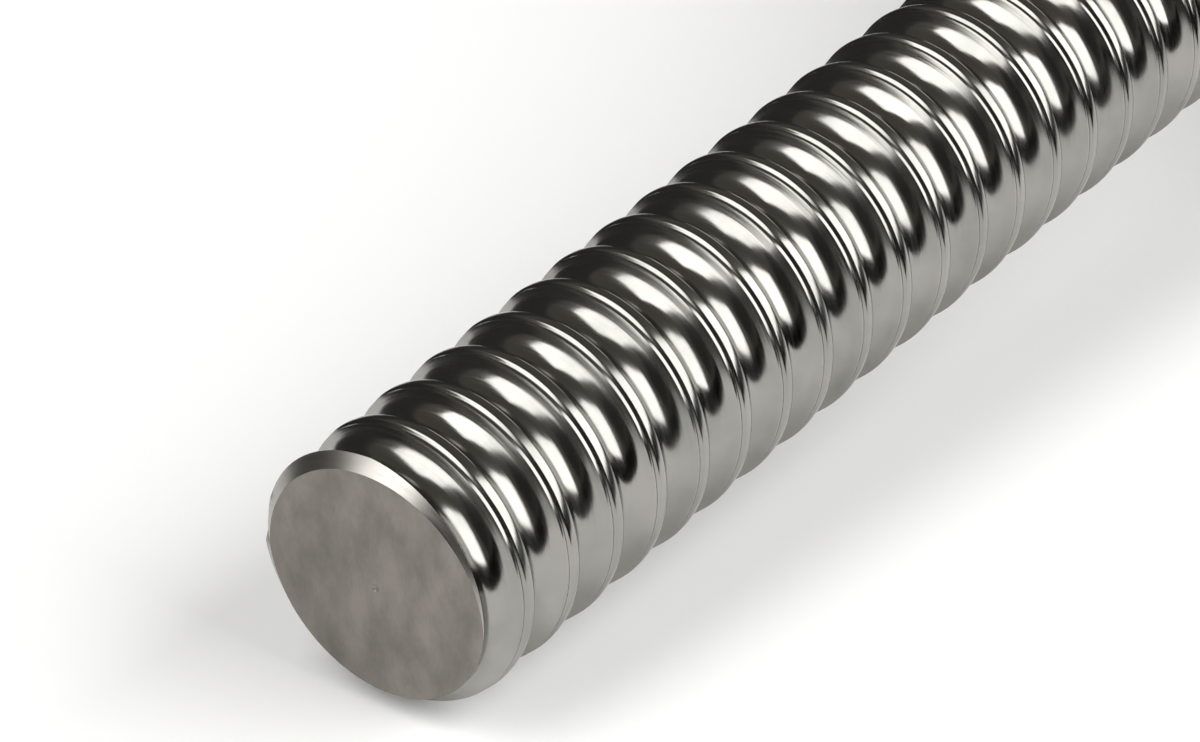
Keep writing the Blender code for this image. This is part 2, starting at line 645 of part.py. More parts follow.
def make_journal_parts():
    """Collars, seals and the lock nut on the bearing journal."""
    bearings_end = BEARINGS_START + 2 * BEARING_WIDTH
    inner = JOURNAL_R + GAP
    front_start = along(THREAD_END) + GAP
    front_width = BEARINGS_START - front_start
    finish_part(ring("collar_front", inner, COLLAR_R, front_width, 20, front_start), STEEL)
    rear_start = bearings_end + GAP
    rear_end = BLOCK_LENGTH / 2 + LID_THICK + 1.5 * MM
    finish_part(ring("collar_rear", inner, COLLAR_R, rear_end - rear_start, 20, rear_start), STEEL)
    make_seal("front", BLOCK_START + 0.4 * MM, LIP - 0.8 * MM)
    make_seal("rear", BLOCK_LENGTH / 2 + 1.0 * MM, LID_THICK - 1.5 * MM)
    make_lock_nut(rear_end + GAP)


def make_lock_nut(start):
    """The round lock nut with four spanner slots and two radial set screws."""
    inner = JOURNAL_R + GAP
    nut = ring("lock_nut", inner, LOCK_NUT_R, LOCK_NUT_WIDTH, 24, start, LOCK_NUT_BEVEL)
    for turn in (45, 135, 225, 315):
        place = Vector((start - OVERRUN, 0, AXIS_HEIGHT)) + outward(turn) * LOCK_NUT_R
        boolean(nut, rod(f"spanner_slot_{turn}", SPANNER_SLOT_R, LOCK_NUT_WIDTH + 2 * OVERRUN, 4,
                         place, (1, 0, 0)))
    centre = Vector((start + LOCK_NUT_WIDTH / 2, 0, AXIS_HEIGHT))
    for number, turn in enumerate((0, 90)):
        direction = outward(turn)
        boolean(nut, rod(f"set_screw_hole_{number + 1}", SET_SCREW_R, LOCK_NUT_R - inner + 2 * OVERRUN, 10,
                         centre + direction * (inner - OVERRUN), direction))
        screw = rod(f"lock_set_screw_{number + 1}", SET_SCREW_R - GAP, SET_SCREW_LENGTH, 10,
                    centre + direction * inner, direction)
        floor = inner + SET_SCREW_LENGTH - SET_SOCKET_DEPTH
        boolean(screw, rod(f"set_screw_hex_{number + 1}", SET_SOCKET_R, SET_SOCKET_DEPTH + OVERRUN, 6,
                           centre + direction * floor, direction))
        finish_part(screw, BLACKED)
    finish_part(nut, BLACKED)


def outward(degrees):
    """The direction away from the screw's axis at an angle about +X, from +Z."""
    angle = math.radians(degrees)
    return Vector((0, -math.sin(angle), math.cos(angle)))


make_screw()
make_nut_body()
for circuit in range(CIRCUITS):
    make_ball_train(circuit)
    make_deflector(circuit)
for end in ("front", "rear"):
    make_wiper(end)
make_grease_nipple()
make_block()
make_lid()
make_lid_screws()
for bearing in (1, 2):
    make_bearing(bearing)
make_journal_parts()
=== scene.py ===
"""Looks of a rolled ball screw with its ball nut and its fixed-side bearing block."""
import math

import bmesh
import bpy
from mathutils import Matrix, Vector


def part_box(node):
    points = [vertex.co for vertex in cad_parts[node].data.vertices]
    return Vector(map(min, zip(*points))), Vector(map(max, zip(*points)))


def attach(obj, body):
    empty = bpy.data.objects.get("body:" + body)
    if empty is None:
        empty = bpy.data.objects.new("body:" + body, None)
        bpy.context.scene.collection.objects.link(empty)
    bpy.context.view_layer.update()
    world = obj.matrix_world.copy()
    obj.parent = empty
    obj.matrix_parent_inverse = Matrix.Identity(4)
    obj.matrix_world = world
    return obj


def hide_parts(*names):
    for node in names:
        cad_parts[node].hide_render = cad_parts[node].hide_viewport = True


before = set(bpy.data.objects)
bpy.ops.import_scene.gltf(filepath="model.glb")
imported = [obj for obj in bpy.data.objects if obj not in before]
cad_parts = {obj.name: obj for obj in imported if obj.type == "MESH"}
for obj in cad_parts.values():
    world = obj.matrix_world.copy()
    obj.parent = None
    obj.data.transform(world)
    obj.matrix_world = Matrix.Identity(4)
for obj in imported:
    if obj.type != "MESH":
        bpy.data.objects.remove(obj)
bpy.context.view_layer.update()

MM = 0.001
GAP = 0.3 * MM
SMALL = 0.000001
OVERRUN = 1.0 * MM           # how far a cutter runs past the metal
ROUND = 96                   # sides of a turned piece
HOLE_SIDES = 48
SMALL_HOLE_SIDES = 32
SHARP_ANGLE = 32             # degrees between faces that makes an edge sharp

# Thread
LEAD = 5.0 * MM
HAND = -1                    # -1 is a left-hand thread
CREST_R = 10.0 * MM
BALL_CIRCLE_R = 10.2 * MM
BALL_R = 1.5875 * MM
GROOVE_R = 1.7 * MM
NUT_CREST_R = 10.4 * MM
SEAM_AT = -0.26 * MM         # from a crest's middle to the fold that rolling leaves along it
SEAM_DEPTH = 0.15 * MM
SEAM_HALF = 0.085 * MM
CROWN_DROP = 0.07 * MM
NEAR_CROWN = (-0.82 * MM, 0.58 * MM)  # middle and half width of the bead on the free end's side
FAR_CROWN = (0.02 * MM, 0.50 * MM)
NEAR_SHOULDER = 0.80 * MM    # how softly a crest runs into the groove on each side
FAR_SHOULDER = 0.30 * MM
SHAFT_COLUMNS = 88
# Rows of faces from a crest's middle to the groove's: (where a band ends, its number of rows)
SHAFT_BANDS = ((0.12 * MM, 2), (0.42 * MM, 5), (1.15 * MM, 5), (2.5 * MM, 4))
RACEWAY_COLUMNS = 64
RACEWAY_BANDS = ((0.80 * MM, 2), (1.3 * MM, 3), (2.5 * MM, 4))

# Screw, from its free end
CHAMFER = 1.0 * MM
THREAD_END = 170.0 * MM
JOURNAL_END = 216.0 * MM
DRIVE_END = 238.0 * MM
JOURNAL_R = 7.5 * MM
DRIVE_R = 6.0 * MM
CENTRE_DOT_R = 0.30 * MM     # the small mark in the middle of the free end
CENTRE_DOT_DEPTH = 0.28 * MM
CENTRE_HOLE_R = (2.1 * MM, 1.6 * MM, 0.6 * MM)     # of the drive end: mouth, throat and bottom
CENTRE_HOLE_DEPTH = (0.5 * MM, 2.4 * MM, 3.4 * MM)
STEP_BEVEL = 0.5 * MM
KEY_HALF_WIDTH = 2.0 * MM

# Nut
BARREL_R = 18.0 * MM
FLANGE_R = 29.0 * MM
FLANGE_THICK = 10.0 * MM
FLANGE_FLAT = 22.0 * MM
FLANGE_PCR = 23.5 * MM
FLANGE_HOLE_R = 3.3 * MM
WIPER_BORE_R = 13.0 * MM
WIPER_BORE_DEPTH = 5.6 * MM
OIL_HOLE_R = 3.0 * MM
CIRCUITS = 3
CIRCUIT_TURNS = 4.0 / 3.0
FIRST_CIRCUIT = 130.0 * MM
BALLS_PER_CIRCUIT = 20
LIFT = 1.5 * MM
CROSSOVER = math.radians(50)
PLUG_HALF_WIDTH = 4.6 * MM
PLUG_HALF_LENGTH = 6.6 * MM
PLUG_INNER_R = 10.8 * MM
PLUG_SINK = 0.1 * MM         # of a deflector's outer face under the barrel's
POCKET_INNER_R = 9.0 * MM
CHANNEL_R = 1.9 * MM
CHANNEL_SPAN = math.radians(44)      # to each side of the deflector
RELIEF = 0.8 * MM            # width of the groove between barrel and flange
NUT_CORNER = 0.7 * MM
WIPER_LIP = 1.2 * MM
WIPER_LIP_R = CREST_R + 0.35 * MM
WIPER_MOUTH_R = CREST_R + 0.35 * MM + 0.8 * MM
SNAP_RING_HEIGHT = 1.4 * MM
SNAP_OPENING_HALF = 2.0 * MM
NIPPLE_HEX = 6.6 * MM

# Bearing block
WING_HEIGHT = 18.0 * MM
TOWER_WIDTH = 40.0 * MM
BASE_HOLE_R = 3.3 * MM
BASE_HEAD_R = 5.5 * MM
BASE_HEAD_DEPTH = 6.5 * MM
BASE_HOLE_X = 7.5 * MM
BASE_HOLE_Y = 27.0 * MM
BEARING_R = 16.0 * MM
LIP = 4.5 * MM
SEAL_R = 12.5 * MM
COLLAR_R = 10.0 * MM
LID_THICK = 6.0 * MM
LID_SCREW_AT = 15.0 * MM
LID_SCREW_R = 1.5 * MM
LID_THREAD_DEPTH = 10.0 * MM
LID_HEAD_R = 2.75 * MM
LID_HEAD_HEIGHT = 2.9 * MM
LID_SOCKET_DEPTH = 1.6 * MM
COUNTERBORE_R = 3.2 * MM
COUNTERBORE_DEPTH = 3.0 * MM
LOCK_NUT_R = 13.0 * MM
SPANNER_HALF_WIDTH = 1.9 * MM
SPANNER_DEPTH = 1.6 * MM
SET_SCREW_R = 1.75 * MM
SET_HOLE_R = 2.0 * MM
SET_SCREW_LENGTH = 4.0 * MM
SET_SOCKET_AT = 2.6 * MM     # from the journal to the socket's floor
BEARING_BALLS = 10
BEARING_BALL_R = 2.38 * MM
BEARING_BALL_CIRCLE = 11.75 * MM
INNER_SHOULDER_R = 10.3 * MM
OUTER_SHOULDER_R = 13.2 * MM
RACE_R = 2.6 * MM
CAGE_R = (11.0 * MM, 12.5 * MM)
CAGE_POCKET_R = 2.7 * MM
CAGE_POCKET_START = 9.5 * MM

SHAFT_LOW, SHAFT_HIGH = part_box("screw_shaft")
BLOCK_LOW, BLOCK_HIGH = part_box("support_block")
NUT_LOW, NUT_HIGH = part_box("nut_body")
FREE_X = SHAFT_LOW.x
AXIS_Z = (SHAFT_LOW.z + SHAFT_HIGH.z) / 2


# ---------------------------------------------------------------- mesh helpers

def object_from(bm, name):
    mesh = bpy.data.meshes.new(name)
    bm.to_mesh(mesh)
    bm.free()
    item = bpy.data.objects.new(name, mesh)
    bpy.context.scene.collection.objects.link(item)
    return item


def settle(item):
    """Turn an object's modifiers and its place into plain vertices in the frame."""
    bpy.context.view_layer.update()
    graph = bpy.context.evaluated_depsgraph_get()
    mesh = bpy.data.meshes.new_from_object(item.evaluated_get(graph))
    mesh.transform(item.matrix_world)
    name = item.name
    bpy.data.objects.remove(item, do_unlink=True)
    made = bpy.data.objects.new(name, mesh)
    bpy.context.scene.collection.objects.link(made)
    return made


def boolean(item, *cutters, operation="DIFFERENCE"):
    """Cut, join or intersect an object with others, which are used up."""
    for cutter in cutters:
        modifier = item.modifiers.new("cut", "BOOLEAN")
        modifier.operation = operation
        modifier.object = cutter
    made = settle(item)
    for cutter in cutters:
        bpy.data.objects.remove(cutter, do_unlink=True)
    return made


def rounded(profile, size):
    """A profile with a small two-step rounding on each corner that isn't on the axis."""
    made = []
    closed = min(r for _, r in profile) > SMALL
    count = len(profile)
    for i, (x, r) in enumerate(profile):
        if not closed and i in (0, count - 1):
            made.append((x, r))
            continue
        before = Vector(profile[i - 1]) - Vector((x, r))
        after = Vector(profile[(i + 1) % count]) - Vector((x, r))
        reach = min(size, before.length * 0.45, after.length * 0.45)
        corner = Vector((x, r))
        first, last = corner + before.normalized() * reach, corner + after.normalized() * reach
        middle = (first + last) * 0.25 + corner * 0.5
        made += [tuple(first), tuple(middle), tuple(last)]
    return made


def turned(name, profile, x, sides=ROUND, centre=None, direction=(1, 0, 0)):
    """A ring or solid turned about a line through centre. The profile is (distance along it, radius)."""
    bm = bmesh.new()
    verts = [bm.verts.new((px, 0, radius)) for px, radius in profile]
    edges = [bm.edges.new(pair) for pair in zip(verts, verts[1:])]
    if min(radius for _, radius in profile) > SMALL:
        edges.append(bm.edges.new((verts[-1], verts[0])))
    bmesh.ops.spin(bm, geom=verts + edges, cent=(0, 0, 0), axis=(1, 0, 0), angle=2 * math.pi,
                   steps=sides, use_merge=True)
    bmesh.ops.remove_doubles(bm, verts=bm.verts, dist=SMALL)
    bmesh.ops.recalc_face_normals(bm, faces=bm.faces)
    turn = Vector((1, 0, 0)).rotation_difference(Vector(direction)).to_matrix().to_4x4()
    place = Vector((x, 0, AXIS_Z)) if centre is None else Vector(centre)
    bmesh.ops.transform(bm, matrix=Matrix.Translation(place) @ turn, verts=bm.verts)
    return object_from(bm, name)


def hole(radius, length, centre, direction, mouth, sides=HOLE_SIDES):
    """A cutter for a blind round hole from centre along direction, flared where it leaves the metal."""
    profile = [(0, 0), (0, radius + mouth), (mouth, radius), (length, radius), (length, 0)]
    return turned("cutter", profile, 0, sides, centre, direction)


def through_hole(radius, length, centre, direction, mouth=0.4 * MM, sides=HOLE_SIDES):
    """A cutter for a hole that runs past both faces, at centre and at length, and is flared there."""
    flare = radius + mouth + OVERRUN
    profile = [(-OVERRUN, 0), (-OVERRUN, flare), (mouth, radius),
               (length - mouth, radius), (length + OVERRUN, flare), (length + OVERRUN, 0)]
    return turned("cutter", profile, 0, sides, centre, direction)


def prism(name, low, high, bevel=0.0):
    """A box between two corners with rounded edges."""
    bm = bmesh.new()
    bmesh.ops.create_cube(bm, size=1.0)
    bmesh.ops.scale(bm, verts=bm.verts, vec=[b - a for a, b in zip(low, high)])
    bmesh.ops.translate(bm, verts=bm.verts, vec=[(a + b) / 2 for a, b in zip(low, high)])
    if bevel:
        bmesh.ops.bevel(bm, geom=list(bm.edges), offset=bevel, segments=3, affect="EDGES", profile=0.5)
    return object_from(bm, name)


def obround(name, half_width, half_length, low, high, bevel=0.0):
    """A stadium-shaped post along Z, its long way along Y."""
    bm = bmesh.new()
    turn = Matrix.Rotation(math.pi / HOLE_SIDES, 4, "Z")
    bmesh.ops.create_cone(bm, cap_ends=True, segments=HOLE_SIDES, radius1=half_width, radius2=half_width,
                          depth=high - low, matrix=turn)
    for vert in bm.verts:
        vert.co.y += math.copysign(half_length - half_width, vert.co.y)
    bmesh.ops.translate(bm, verts=bm.verts, vec=(0, 0, (low + high) / 2))
    if bevel:
        rims = [edge for edge in bm.edges if abs(edge.verts[0].co.z - edge.verts[1].co.z) < SMALL]
        bmesh.ops.bevel(bm, geom=rims, offset=bevel, segments=2, affect="EDGES", profile=0.5)
    return object_from(bm, name)


def hexagon(across, length, centre, direction):
    """A hexagonal bar from centre along direction, for a socket or a spanner's hexagon."""
    bm = bmesh.new()
    radius = across / math.sqrt(3)
    bmesh.ops.create_cone(bm, cap_ends=True, segments=6, radius1=radius, radius2=radius, depth=length)
    bmesh.ops.translate(bm, verts=bm.verts, vec=(0, 0, length / 2))
    turn = Vector((0, 0, 1)).rotation_difference(Vector(direction)).to_matrix().to_4x4()
    bmesh.ops.transform(bm, matrix=Matrix.Translation(centre) @ turn, verts=bm.verts)
    return object_from(bm, "cutter")


def dress(item, body, nodes, materials, angle=SHARP_ANGLE, weighted=True):
    """Shade a finished piece, give it its materials, and tell the frame what it stands for."""
    if not item.data.materials:
        for material in materials:
            item.data.materials.append(material)
    item.data.shade_smooth()
    item.data.set_sharp_from_angle(angle=math.radians(angle))
    if weighted:
        modifier = item.modifiers.new("normals", "WEIGHTED_NORMAL")
        modifier.keep_sharp = True
    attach(item, body)
    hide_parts(*nodes)
    return item


# ---------------------------------------------------------------- materials

def add_node(tree, kind, inputs=(), **settings):
    """A shader node with its settings, and its inputs set to numbers or linked to sockets."""
    made = tree.nodes.new(kind)
    for key, value in settings.items():
        setattr(made, key, value)
    for key, value in dict(inputs).items():
        if isinstance(value, bpy.types.NodeSocket):
            tree.links.new(value, made.inputs[key])
        else:
            made.inputs[key].default_value = value
    return made


def pattern(tree, scale, detail=4.0, source=None):
    """Noise with its own size along X, Y and Z, in cells a metre, on the object's coordinates."""
    if source is None:
        source = add_node(tree, "ShaderNodeTexCoord").outputs["Object"]
    mapping = add_node(tree, "ShaderNodeMapping", {"Vector": source, "Scale": scale})
    return add_node(tree, "ShaderNodeTexNoise", {"Vector": mapping.outputs["Vector"], "Scale": 1.0,
                                                 "Detail": detail, "Roughness": 0.55}).outputs["Fac"]


def spread(tree, value, low, high, start=0.3, end=0.7):
    """A pattern's value, stretched to run from low to high."""
    return add_node(tree, "ShaderNodeMapRange", {"Value": value, "From Min": start, "From Max": end,
                                                 "To Min": low, "To Max": high}).outputs["Result"]


def blended(tree, share, first, second):
    mix = add_node(tree, "ShaderNodeMix", {"Factor": share}, data_type="RGBA")
    mix.inputs[6].default_value = (*first, 1.0)
    mix.inputs[7].default_value = (*second, 1.0)
    return mix.outputs[2]


def surface(name, colours, rough, grain, patches, bump=0.1, bump_depth=0.01 * MM, metallic=1.0,
            attribute=None):
    """A shader with its colour from broad patches, its bump from fine grain and its roughness from both."""
    material = bpy.data.materials.new(name)
    material.use_nodes = True
    tree = material.node_tree
    shader = tree.nodes["Principled BSDF"]
    source = None
    if attribute:
        source = add_node(tree, "ShaderNodeAttribute", attribute_name=attribute).outputs["Vector"]
    fine = pattern(tree, grain, source=source)
    broad = pattern(tree, patches, detail=3.0)
    tree.links.new(blended(tree, spread(tree, broad, 0.0, 1.0), *colours), shader.inputs["Base Color"])
    both = add_node(tree, "ShaderNodeMath", {0: fine, 1: broad}, operation="ADD").outputs[0]
    tree.links.new(spread(tree, both, rough[0], rough[1], 0.7, 1.3), shader.inputs["Roughness"])
    raised = add_node(tree, "ShaderNodeBump", {"Height": fine, "Strength": bump, "Distance": bump_depth})
    tree.links.new(raised.outputs["Normal"], shader.inputs["Normal"])
    shader.inputs["Metallic"].default_value = metallic
    return material


TURNED = (9000, 300, 300)    # grain cells a metre of a piece turned about X
EVEN = (2500, 2500, 2500)
BROAD = (120, 120, 120)

ROLLED = surface("rolled_steel", ((0.33, 0.32, 0.30), (0.27, 0.27, 0.25)), (0.11, 0.23), (1, 1, 1),
                 (260, 260, 260), bump=0.25, bump_depth=0.02 * MM, attribute="grain")
END_FACE = surface("sawn_end", ((0.285, 0.262, 0.235), (0.20, 0.186, 0.168)), (0.46, 0.60),
                   (3000, 6000, 2400), (170, 420, 230), bump=0.6, bump_depth=0.02 * MM)
TURNED_EDGE = surface("turned_edge", ((0.40, 0.38, 0.35), (0.34, 0.325, 0.30)), (0.25, 0.40),
                      TURNED, BROAD, bump=0.3, bump_depth=0.01 * MM)
GROUND = surface("ground_steel", ((0.62, 0.62, 0.60), (0.56, 0.56, 0.54)), (0.14, 0.26),
                 TURNED, BROAD, bump=0.2, bump_depth=0.006 * MM)
NUT_STEEL = surface("nut_steel", ((0.47, 0.47, 0.455), (0.44, 0.44, 0.425)), (0.34, 0.44),
                    TURNED, (90, 90, 90), bump=0.25, bump_depth=0.01 * MM)
BALL_STEEL = surface("ball_steel", ((0.68, 0.68, 0.67), (0.64, 0.64, 0.63)), (0.04, 0.08),
                     EVEN, BROAD, bump=0.02)
PLUG_STEEL = surface("deflector_steel", ((0.26, 0.245, 0.225), (0.19, 0.18, 0.17)), (0.32, 0.48),
                     EVEN, (500, 500, 500), bump=0.25, bump_depth=0.02 * MM)
HOUSING = surface("blacked_housing", ((0.032, 0.034, 0.038), (0.055, 0.056, 0.058)), (0.36, 0.52),
                  EVEN, (150, 150, 150), bump=0.35, bump_depth=0.02 * MM, metallic=0.65)
HARDWARE = surface("black_oxide_hardware", ((0.020, 0.020, 0.022), (0.045, 0.043, 0.040)), (0.28, 0.42),
                   EVEN, (400, 400, 400), bump=0.2, bump_depth=0.01 * MM, metallic=0.7)
POLYAMIDE = surface("cage_polyamide", ((0.30, 0.21, 0.10), (0.36, 0.27, 0.15)), (0.45, 0.6),
                    EVEN, (300, 300, 300), bump=0.2, metallic=0.0)
ACETAL = surface("wiper_acetal", ((0.72, 0.71, 0.67), (0.66, 0.65, 0.60)), (0.38, 0.52),
                 EVEN, (250, 250, 250), bump=0.2, metallic=0.0)
RUBBER = surface("seal_rubber", ((0.022, 0.021, 0.020), (0.035, 0.033, 0.031)), (0.55, 0.72),
                 EVEN, (350, 350, 350), bump=0.4, bump_depth=0.02 * MM, metallic=0.0)
BRASS = surface("nipple_brass", ((0.72, 0.51, 0.22), (0.60, 0.42, 0.18)), (0.22, 0.36),
                EVEN, (300, 300, 300), bump=0.2)


# ---------------------------------------------------------------- thread

def crest_x(angle):
    """Where a crest's middle lies, from the free end. The angle is taken about +X, from +Z."""
    return HAND * LEAD * angle / (2 * math.pi)


def from_crest(x, angle):
    """Distance from the nearest crest's middle, from half a lead before it to half a lead beyond."""
    return (x - crest_x(angle) + LEAD / 2) % LEAD - LEAD / 2


def shaft_radius(u):
    """The rolled thread: a ball groove, and a crest of two beads with a seam between them."""
    across = min(LEAD / 2 - abs(u), GROOVE_R)
    groove = BALL_CIRCLE_R - math.sqrt(GROOVE_R ** 2 - across ** 2)
    middle, half = FAR_CROWN if u > SEAM_AT else NEAR_CROWN
    crest = CREST_R - CROWN_DROP * min(2.0, ((u - middle) / half) ** 2)
    crest -= SEAM_DEPTH * math.exp(-((u - SEAM_AT) / SEAM_HALF) ** 2)
    shoulder = FAR_SHOULDER if u > SEAM_AT else NEAR_SHOULDER
    near = max(shoulder - abs(groove - crest), 0) / shoulder
    return min(groove, crest) - near * near * shoulder / 4


def raceway_radius(u):
    """The nut's ball thread, which mirrors the screw's groove outwards."""
    across = min(LEAD / 2 - abs(u), GROOVE_R)
    return max(NUT_CREST_R, BALL_CIRCLE_R + math.sqrt(GROOVE_R ** 2 - across ** 2))


def row_places(bands):
    """Places over one lead where the thread's rows lie, from one crest's middle to the next."""
    half = [0.0]
    for end, count in bands:
        start = half[-1]
        half += [start + (end - start) * (i + 1) / count for i in range(count)]
    return half + [LEAD - u for u in reversed(half[1:-1])]


def meeting(radius_at, angle, end_x, inward, reach):
    """How far in from an end, at one angle, a 45 degree chamfer of that reach meets the thread."""
    def above(distance):
        cone = CREST_R - CHAMFER + distance
        return radius_at(from_crest(end_x + inward * distance, angle)) - cone
    if above(0.0) <= 0:
        return 0.0
    step = reach / 40
    distance = 0.0
    while above(distance + step) > 0 and distance < 1.5 * reach:
        distance += step
    low, high = distance, distance + step
    for _ in range(20):
        middle = (low + high) / 2
        low, high = (middle, high) if above(middle) > 0 else (low, middle)
    return low


ROW_MARGIN = 0.02 * MM       # rows nearer than this to an end are drawn to it
GRAIN_ACROSS = 9             # cells of the streaks across one lead, over a full turn's circle
GRAIN_ALONG = 150            # cells a metre along the helix


class Thread:
    """A threaded cylinder wall between two places, whose rows of faces follow the helix.

    Its two rims have one vertex for each column, so that more rings can be joined to them.
    """

    def __init__(self, radius_at, start, end, columns, bands, chamfered=False):
        self.columns = columns
        self.points, self.faces, self.grain = [], [], []
        rows = row_places(bands)
        turns = range(math.floor(start / LEAD) - 1, math.ceil(end / LEAD) + 2)
        places = [LEAD * turn + u for turn in turns for u in rows]
        shift = len(rows)
        grid = []
        for column in range(columns):
            angle = 2 * math.pi * column / columns
            low, high = start, end
            if chamfered:
                low += meeting(radius_at, angle, start, 1, CHAMFER)
                high -= meeting(radius_at, angle, end, -1, CHAMFER)
            first = self.point(low, radius_at(from_crest(low, angle)), column)
            last = self.point(high, radius_at(from_crest(high, angle)), column)
            line = []
            for place in places:
                x = place + crest_x(angle)
                if x <= low + ROW_MARGIN:
                    line.append(first)
                elif x >= high - ROW_MARGIN:
                    line.append(last)
                else:
                    line.append(self.point(x, radius_at(from_crest(x, angle)), column))
            grid.append(line)
        self.first = [line[0] for line in grid]
        self.last = [line[-1] for line in grid]
        for column in range(columns):
            line, following = grid[column], grid[(column + 1) % columns]
            slip = HAND * shift if column == columns - 1 else 0
            for row in range(-shift, len(places) + shift - 1):
                near = [min(max(row + i, 0), len(places) - 1) for i in (0, 1)]
                far = [min(max(row + slip + i, 0), len(places) - 1) for i in (0, 1)]
                self.face(line[near[0]], line[near[1]], following[far[1]], following[far[0]])

    def point(self, x, radius, column):
        angle = 2 * math.pi * column / self.columns
        self.points.append((FREE_X + x, -radius * math.sin(angle), AXIS_Z + radius * math.cos(angle)))
        turn = 2 * math.pi * from_crest(x, angle) / LEAD
        self.grain.append((GRAIN_ACROSS * math.cos(turn) + GRAIN_ALONG * x,
                           GRAIN_ACROSS * math.sin(turn) + GRAIN_ALONG * radius * math.sin(angle),
                           GRAIN_ALONG * radius * math.cos(angle)))
        return len(self.points) - 1

    def face(self, *corners, finish=0):
        kept = [c for i, c in enumerate(corners) if c != corners[i - 1]]
        if len(set(kept)) >= 3:
            self.faces.append((tuple(kept), finish))

    def ring(self, x, radius):
        return [self.point(x, radius, column) for column in range(self.columns)]

    def join(self, near, far, finish=0):
        """Faces between two rings, near being on the free end's side."""
        for i in range(self.columns):
            j = (i + 1) % self.columns
            self.face(near[i], far[i], far[j], near[j], finish=finish)

    def cap(self, ring, x, finish, start):
        hub = self.point(x, 0.0, 0)
        for i in range(self.columns):
            j = (i + 1) % self.columns
            if start:
                self.face(hub, ring[i], ring[j], finish=finish)
            else:
                self.face(ring[i], hub, ring[j], finish=finish)

    def build(self, name, materials):
        mesh = bpy.data.meshes.new(name)
        mesh.from_pydata(self.points, [], [corners for corners, _ in self.faces])
        for material in materials:
            mesh.materials.append(material)
        mesh.polygons.foreach_set("material_index", [finish for _, finish in self.faces])
        grain = mesh.attributes.new("grain", "FLOAT_VECTOR", "POINT")
        grain.data.foreach_set("vector", [number for point in self.grain for number in point])
        mesh.validate()
        item = bpy.data.objects.new(name, mesh)
        bpy.context.scene.collection.objects.link(item)
        bm = bmesh.new()
        bm.from_mesh(mesh)
        bmesh.ops.recalc_face_normals(bm, faces=bm.faces)
        bm.to_mesh(mesh)
        bm.free()
        return item


# ---------------------------------------------------------------- screw

def make_shaft():
    """The rolled shaft: chamfered and sawn free end, thread, journals, keyway and centre hole."""
    edge, face, ground = 1, 2, 3
    thread = Thread(shaft_radius, 0.0, THREAD_END, SHAFT_COLUMNS, SHAFT_BANDS, chamfered=True)
    rim_r = CREST_R - CHAMFER
    rim = []
    for column, vertex in enumerate(thread.first):
        x, _, _ = thread.points[vertex]
        rim.append(vertex if x - FREE_X < SMALL else thread.point(0.0, rim_r, column))
    thread.join(rim, thread.first, edge)
    dot = thread.ring(0.0, CENTRE_DOT_R)
    inner = thread.ring(0.0, 0.5 * rim_r)
    thread.join(inner, rim, face)
    thread.join(dot, inner, face)
    thread.cap(dot, CENTRE_DOT_DEPTH, face, True)
    shoulder = []
    for column, vertex in enumerate(thread.last):
        x, _, _ = thread.points[vertex]
        at_end = FREE_X + THREAD_END - x < SMALL
        shoulder.append(vertex if at_end else thread.point(THREAD_END, rim_r, column))
    thread.join(thread.last, shoulder, edge)
    half = STEP_BEVEL / 2
    hole_r, hole_depth = CENTRE_HOLE_R, CENTRE_HOLE_DEPTH
    steps = [(THREAD_END, JOURNAL_R + half), (THREAD_END + half, JOURNAL_R),
             (JOURNAL_END - 2 * STEP_BEVEL, JOURNAL_R), (JOURNAL_END, JOURNAL_R - 2 * STEP_BEVEL),
             (JOURNAL_END, DRIVE_R + half), (JOURNAL_END + half, DRIVE_R),
             (DRIVE_END - CHAMFER, DRIVE_R), (DRIVE_END, DRIVE_R - CHAMFER),
             (DRIVE_END, hole_r[0]), (DRIVE_END - hole_depth[0], hole_r[1]),
             (DRIVE_END - hole_depth[1], hole_r[2])]
    before = shoulder
    for x, radius in steps:
        ring = thread.ring(x, radius)
        thread.join(before, ring, ground)
        before = ring
    thread.cap(before, DRIVE_END - hole_depth[2], ground, False)
    shaft = thread.build("fine_screw_shaft", (ROLLED, TURNED_EDGE, END_FACE, GROUND))
    key_low, key_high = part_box("drive_key")
    half = (key_high.x - key_low.x) / 2 + GAP / 2
    lengthways = (Matrix.Translation(((key_low.x + key_high.x) / 2, 0, 0))
                  @ Matrix.Rotation(math.pi / 2, 4, "Z"))
    slot = obround("keyway", KEY_HALF_WIDTH, half, key_low.z - GAP / 2, key_high.z + 2 * OVERRUN)
    slot.matrix_world = lengthways
    shaft = boolean(shaft, slot)
    dress(shaft, "screw", ["screw_shaft"], [], angle=38, weighted=False)
    key = obround("fine_drive_key", KEY_HALF_WIDTH - GAP / 3, half - GAP / 2, key_low.z, key_high.z,
                  0.25 * MM)
    key.matrix_world = lengthways
    dress(settle(key), "screw", ["drive_key"], [GROUND])


# ---------------------------------------------------------------- nut

def circuit_angle(index):
    """Where a circuit's deflector sits round the nut, about +X from +Z."""
    return 2 * math.pi * index * CIRCUIT_TURNS * HAND


def circuit_x(index):
    """The crest that a circuit's deflector crosses, in the frame."""
    return FREE_X + FIRST_CIRCUIT + index * CIRCUIT_TURNS * LEAD


def path_point(index, angle):
    """A ball's centre at an angle from its circuit's deflector."""
    wrapped = (angle + math.pi) % (2 * math.pi) - math.pi
    share = min(1.0, max(0.0, wrapped / CROSSOVER + 0.5))
    step = share * share * (3 - 2 * share)
    x = HAND * LEAD * (wrapped / (2 * math.pi) + 0.5 - step)
    radius = BALL_CIRCLE_R + LIFT * 4 * step * (1 - step)
    total = circuit_angle(index) + angle
    return Vector((circuit_x(index) + x, -radius * math.sin(total), AXIS_Z + radius * math.cos(total)))


